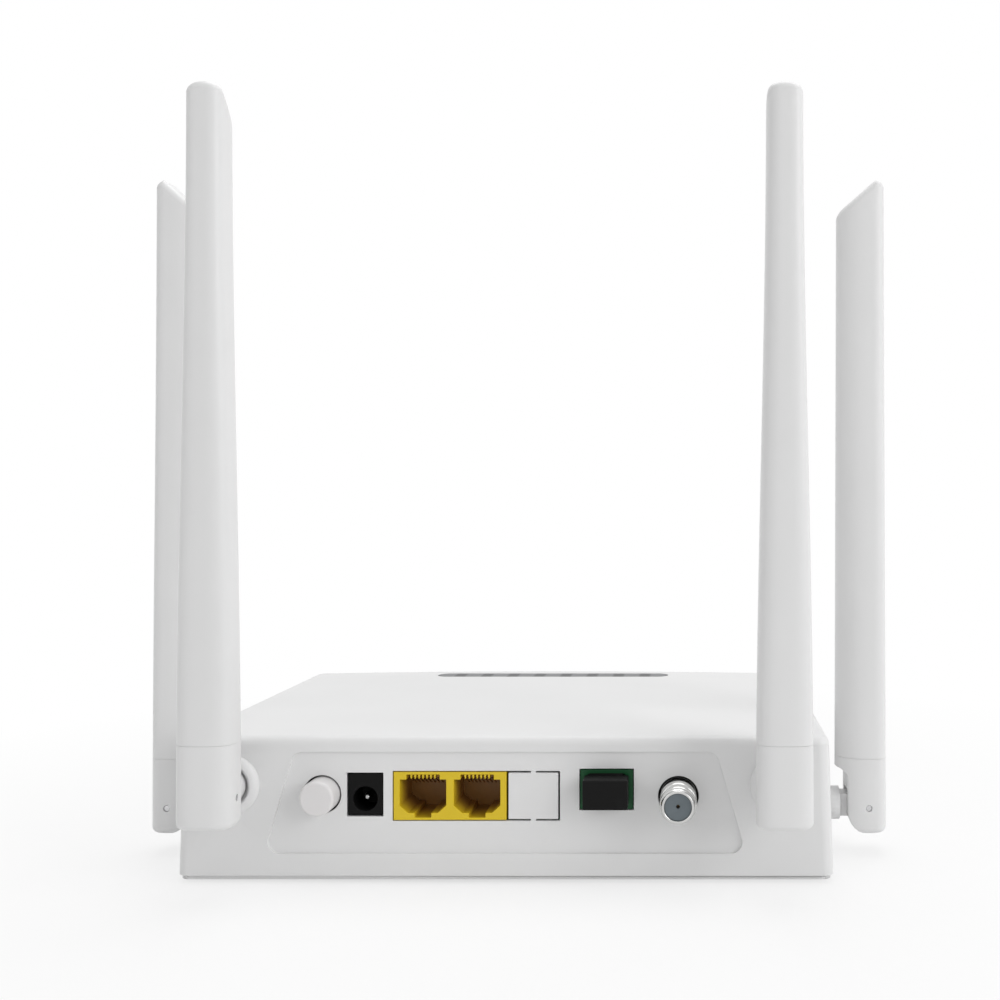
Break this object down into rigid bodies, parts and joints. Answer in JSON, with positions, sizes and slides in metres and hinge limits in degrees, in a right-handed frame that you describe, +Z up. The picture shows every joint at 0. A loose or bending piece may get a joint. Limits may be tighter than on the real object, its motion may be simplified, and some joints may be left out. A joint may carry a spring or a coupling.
{
  "type": "optical network terminal",
  "caption": "Low desktop fibre terminal box with rear sockets, a light bar on top and folding, swivelling paddle antennas on the rear and side walls.",
  "frame": {"origin": "on the floor, under the middle of the overall footprint", "axes": "+Z up, the rear wall with its sockets faces -Y, +X to the right when looking at the sockets"},
  "size_m": [0.2054, 0.1332, 0.2014],
  "materials": {
    "white_casing": "fine moulded satin",
    "white_base": "fine moulded satin",
    "white_button": "smooth satin",
    "white_antenna": "fine moulded satin",
    "switch_white": "smooth",
    "feet_rubber": "soft matt",
    "screw_steel": "zinc plated",
    "board_green": "solder mask over woven glass",
    "black_plastic": "moulded satin",
    "nickel": "nickel plated",
    "yellow_plastic": "moulded satin",
    "gold": "gold flashed",
    "green_plastic": "moulded satin",
    "ceramic_white": "polished ceramic",
    "cap_rubber": "soft satin",
    "grey_plastic": "smooth",
    "tinned_steel": "tin plated sheet",
    "smoked_plastic": "polished smoked diffuser",
    "light_white": "clear resin",
    "ribbon": "flat flexible cable",
    "chip_black": "moulded resin",
    "heat_sink_aluminium": "extruded",
    "capacitor_sleeve": "shrink sleeve",
    "ferrite_grey": "sintered",
    "lead_black": "coaxial lead jacket"
  },
  "bodies": {
    "housing": {"top_cover": "white_casing", "base_tray": "white_base", "rubber_feet": "feet_rubber", "case_screws": "screw_steel", "main_board": "board_green", "board_screws": "screw_steel", "power_switch": "black_plastic", "inlet_housing": "black_plastic", "inlet_pin": "nickel", "lan_housing": "yellow_plastic", "lan_contacts": "gold", "optical_adapter": "green_plastic", "optical_sleeve": "ceramic_white", "optical_module": "nickel", "catv_barrel": "nickel", "catv_insulator": "grey_plastic", "catv_contact": "gold", "catv_shield_can": "tinned_steel", "light_bar": "smoked_plastic", "light_board": "board_green", "lights": "light_white", "light_ribbon": "ribbon", "processor": "chip_black", "heat_sink": "heat_sink_aluminium", "memory_chips": "chip_black", "radio_shield_cans": "tinned_steel", "lan_transformers": "chip_black", "capacitors": "capacitor_sleeve", "inductors": "ferrite_grey", "antenna_leads": "lead_black", "antenna_sockets": "gold"},
    "power_button": {"power_button": "white_button", "switch_plunger": "switch_white"},
    "dust_cap": {"dust_cap": "cap_rubber"},
    "rear_left_swivel": {"rear_left_swivel": "white_antenna"},
    "rear_left_antenna": {"rear_left_hinge_pin": "screw_steel", "rear_left_knuckle": "white_antenna", "rear_left_radome": "white_antenna", "rear_left_radiator": "board_green"},
    "rear_right_swivel": {"rear_right_swivel": "white_antenna"},
    "rear_right_antenna": {"rear_right_hinge_pin": "screw_steel", "rear_right_knuckle": "white_antenna", "rear_right_radome": "white_antenna", "rear_right_radiator": "board_green"},
    "side_left_swivel": {"side_left_swivel": "white_antenna"},
    "side_left_antenna": {"side_left_hinge_pin": "screw_steel", "side_left_knuckle": "white_antenna", "side_left_radome": "white_antenna", "side_left_radiator": "board_green"},
    "side_right_swivel": {"side_right_swivel": "white_antenna"},
    "side_right_antenna": {"side_right_hinge_pin": "screw_steel", "side_right_knuckle": "white_antenna", "side_right_radome": "white_antenna", "side_right_radiator": "board_green"}
  },
  "joints": [
    {"name": "power_press", "type": "slide", "parent": "housing", "child": "power_button", "axis": [0, 1, 0], "range_m": [0, 0.002], "stiffness_N_per_m": 800, "springref_m": -0.0005},
    {"name": "dust_cap_pull", "type": "slide", "parent": "housing", "child": "dust_cap", "axis": [0, -1, 0], "range_m": [0, 0.012]},
    {"name": "rear_left_turn", "type": "hinge", "parent": "housing", "child": "rear_left_swivel", "pos_m": [-0.071, -0.06115, 0.0256], "axis": [0, 1, 0], "range_deg": [-90, 45]},
    {"name": "rear_left_fold", "type": "hinge", "parent": "rear_left_swivel", "child": "rear_left_antenna", "pos_m": [-0.071, -0.06115, 0.0256], "axis": [1, 0, 0], "range_deg": [0, 90]},
    {"name": "rear_right_turn", "type": "hinge", "parent": "housing", "child": "rear_right_swivel", "pos_m": [0.071, -0.06115, 0.0256], "axis": [0, 1, 0], "range_deg": [-45, 90]},
    {"name": "rear_right_fold", "type": "hinge", "parent": "rear_right_swivel", "child": "rear_right_antenna", "pos_m": [0.071, -0.06115, 0.0256], "axis": [1, 0, 0], "range_deg": [0, 90]},
    {"name": "side_left_turn", "type": "hinge", "parent": "housing", "child": "side_left_swivel", "pos_m": [-0.09733, -0.01945, 0.0135], "axis": [1, 0, 0], "range_deg": [-90, 45]},
    {"name": "side_left_fold", "type": "hinge", "parent": "side_left_swivel", "child": "side_left_antenna", "pos_m": [-0.09733, -0.01945, 0.0135], "axis": [0, -1, 0], "range_deg": [0, 90]},
    {"name": "side_right_turn", "type": "hinge", "parent": "housing", "child": "side_right_swivel", "pos_m": [0.09733, -0.01945, 0.0135], "axis": [1, 0, 0], "range_deg": [-90, 45]},
    {"name": "side_right_fold", "type": "hinge", "parent": "side_right_swivel", "child": "side_right_antenna", "pos_m": [0.09733, -0.01945, 0.0135], "axis": [0, 1, 0], "range_deg": [0, 90]}
  ]
}
